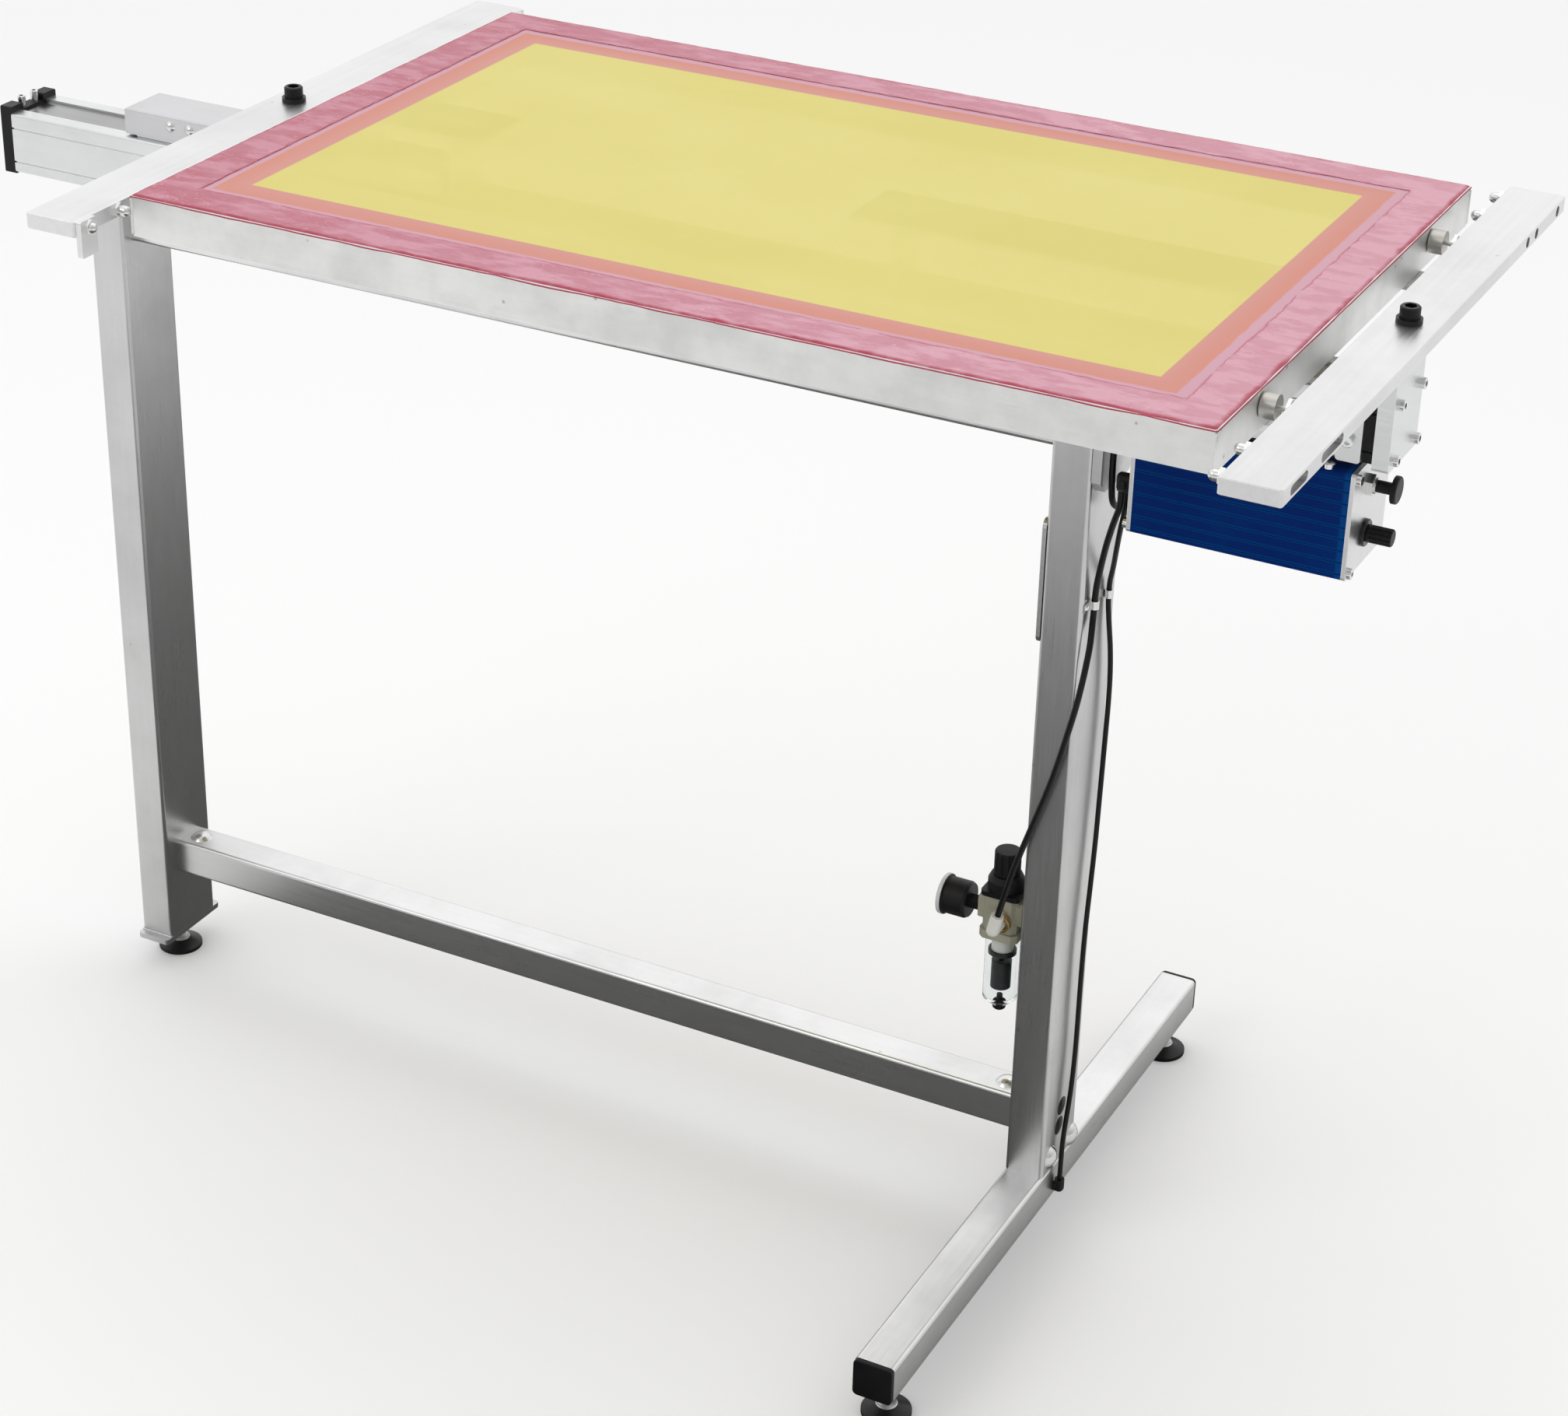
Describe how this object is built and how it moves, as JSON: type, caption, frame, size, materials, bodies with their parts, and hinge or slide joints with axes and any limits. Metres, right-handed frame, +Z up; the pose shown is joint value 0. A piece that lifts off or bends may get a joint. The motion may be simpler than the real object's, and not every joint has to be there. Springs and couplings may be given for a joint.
{
  "type": "screen printing film positioning stand",
  "caption": "Free-standing positioning stand that clamps a tensioned printing screen between two bars on a linear beam, with pneumatic clamps and levelling feet.",
  "frame": {"origin": "middle of the outline on the floor", "axes": "+X along the beam towards the fixed bar and the valve box, +Y along the bars away from the operator, +Z up"},
  "size_m": [1.484, 0.76, 1.0389],
  "materials": {
    "stand_steel": "ground and brushed along the tube",
    "bright_steel": "zinc plated",
    "bush_steel": "nickel plated",
    "foot_steel": "plated",
    "band_steel": "dark spring steel band",
    "black_oxide": "black oxide",
    "black_plastic": "moulded",
    "white_plastic": "moulded",
    "beam_aluminium": "natural anodised",
    "plate_aluminium": "milled",
    "bar_aluminium": "brushed along its length",
    "cover_aluminium": "satin sheet",
    "screen_aluminium": "satin with shop marks",
    "screen_fabric": "coated polyester mesh with tinted glue round its edge",
    "blue_paint": "deep blue anodised",
    "beige_casting": "satin enamel",
    "bezel_chrome": "plated rim",
    "clear_bowl": "clear moulded",
    "needle_black": "matt",
    "hose_black": "extruded tube"
  },
  "bodies": {
    "root": {"left_post": "stand_steel", "left_base_plate": "stand_steel", "right_post": "stand_steel", "foot_tube": "stand_steel", "lower_crossbar": "stand_steel", "upper_crossbar": "stand_steel", "coach_bolts": "bright_steel", "tube_plugs": "black_plastic", "linear_beam": "beam_aluminium", "cover_band": "band_steel", "beam_end_caps": "black_plastic", "beam_end_plates": "plate_aluminium", "beam_screws": "bright_steel", "right_bar": "bar_aluminium", "right_bar_pin": "black_oxide", "right_stop_bolts": "bright_steel", "right_screen_rests": "plate_aluminium", "clamp_cylinders": "bright_steel", "film_plate_left": "bar_aluminium", "film_plate_right": "bar_aluminium", "box_hanger": "plate_aluminium", "valve_box_housing": "blue_paint", "valve_box_end_plates": "plate_aluminium", "valve_box_screws": "bright_steel", "valve_bodies": "black_plastic", "panel_bushes": "bush_steel", "regulator_body": "beige_casting", "regulator_bonnet": "black_plastic", "regulator_bracket": "black_oxide", "bowl": "clear_bowl", "filter_element": "black_plastic", "gauge_case": "bezel_chrome", "gauge_dial": "white_plastic", "elbow_fitting": "white_plastic", "strip_plate": "bright_steel", "hose_a": "hose_black", "hose_b": "hose_black", "hose_c": "hose_black", "hose_fittings": "black_plastic", "hose_clips": "bright_steel"},
    "carriage": {"carriage_block": "plate_aluminium", "carriage_cover": "cover_aluminium", "cover_screws": "bright_steel", "bar_riser": "plate_aluminium", "left_bar": "bar_aluminium", "left_bar_pin": "black_oxide", "left_stop_bolts": "bright_steel", "left_screen_rests": "plate_aluminium"},
    "screen": {"screen_frame": "screen_aluminium", "screen_mesh": "screen_fabric"},
    "clamp_front": {"clamp_piston_front": "bright_steel"},
    "clamp_back": {"clamp_piston_back": "bright_steel"},
    "button": {"push_pull_button": "black_plastic"},
    "flow_control": {"flow_knob": "black_plastic"},
    "pressure_knob": {"regulator_knob": "black_plastic"},
    "needle": {"gauge_needle": "needle_black"},
    "drain": {"drain_cock": "black_plastic"},
    "foot_a": {"foot_left": "foot_steel"},
    "foot_b": {"foot_front": "foot_steel"},
    "foot_c": {"foot_back": "foot_steel"}
  },
  "joints": [
    {"name": "carriage_slide", "type": "slide", "parent": "root", "child": "carriage", "axis": [1, 0, 0], "range_m": [-0.12, 0]},
    {"name": "screen_lift", "type": "slide", "parent": "root", "child": "screen", "axis": [0, 0, 1], "range_m": [0, 0.1]},
    {"name": "clamp_front_slide", "type": "slide", "parent": "root", "child": "clamp_front", "axis": [1, 0, 0], "range_m": [0, 0.007]},
    {"name": "clamp_back_slide", "type": "slide", "parent": "root", "child": "clamp_back", "axis": [1, 0, 0], "range_m": [0, 0.007]},
    {"name": "button_push", "type": "slide", "parent": "root", "child": "button", "axis": [1, 0, 0], "range_m": [-0.006, 0]},
    {"name": "flow_knob_turn", "type": "hinge", "parent": "root", "child": "flow_control", "pos_m": [0.704, -0.008, 0.829], "axis": [1, 0, 0], "range_deg": [0, 270]},
    {"name": "pressure_knob_turn", "type": "hinge", "parent": "root", "child": "pressure_knob", "pos_m": [0.387, -0.008, 0.394], "axis": [0, 0, 1], "range_deg": [-360, 360]},
    {"name": "needle_turn", "type": "hinge", "parent": "root", "child": "needle", "pos_m": [0.3255, -0.008, 0.352], "axis": [1, 0, 0], "range_deg": [0, 270], "stiffness_Nm_per_rad": 0.001},
    {"name": "drain_turn", "type": "hinge", "parent": "root", "child": "drain", "pos_m": [0.387, -0.008, 0.248], "axis": [0, 0, 1], "range_deg": [0, 90]},
    {"name": "foot_left_turn", "type": "hinge", "parent": "root", "child": "foot_a", "pos_m": [-0.617, 0, 0.03], "axis": [0, 0, 1], "continuous": true},
    {"name": "foot_front_turn", "type": "hinge", "parent": "root", "child": "foot_b", "pos_m": [0.437, -0.345, 0.038], "axis": [0, 0, 1], "continuous": true},
    {"name": "foot_back_turn", "type": "hinge", "parent": "root", "child": "foot_c", "pos_m": [0.437, 0.345, 0.038], "axis": [0, 0, 1], "continuous": true}
  ],
  "couplings": [
    {"joint": "clamp_back_slide", "follows": "clamp_front_slide", "ratio": 1}
  ]
}
